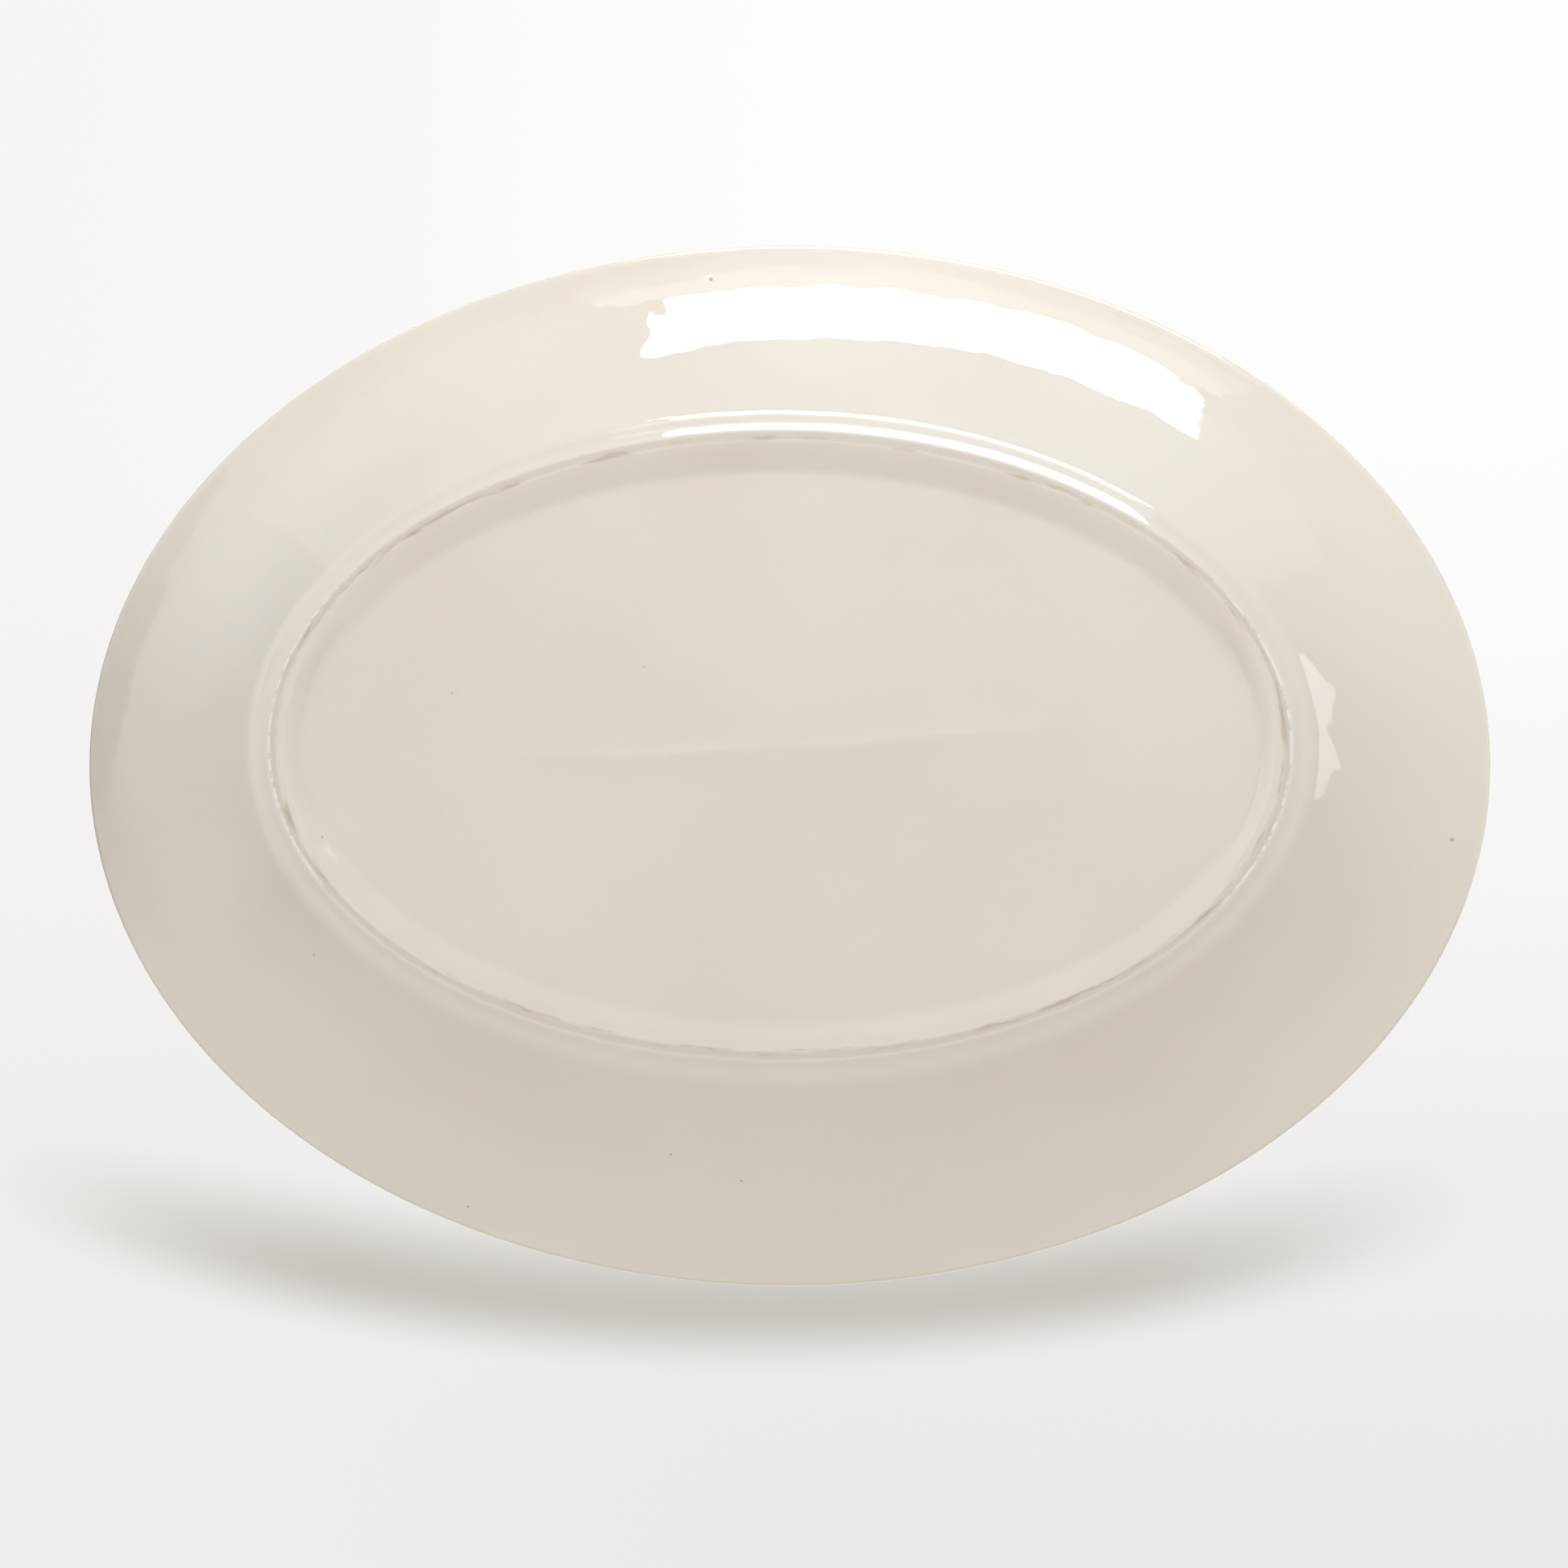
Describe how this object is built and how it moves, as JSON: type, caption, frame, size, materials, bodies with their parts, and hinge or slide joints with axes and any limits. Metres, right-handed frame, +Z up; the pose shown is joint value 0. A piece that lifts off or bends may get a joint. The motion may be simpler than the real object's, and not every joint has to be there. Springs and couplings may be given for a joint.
{
  "type": "oval china serving platter",
  "caption": "Oval glazed china serving platter with a flat well, a smoothly rising rim with a rounded lip, and a low ring foot that it stands on.",
  "frame": {"origin": "centre of the plane that the ring foot stands on", "axes": "+X along the platter's length, +Y across its width, +Z up out of the well"},
  "size_m": [0.406, 0.304, 0.032],
  "materials": {
    "glazed_china": "glossy cream-white glaze, bare on the narrow band that the foot stands on"
  },
  "bodies": {
    "root": {"platter": "glazed_china"}
  },
  "joints": []
}
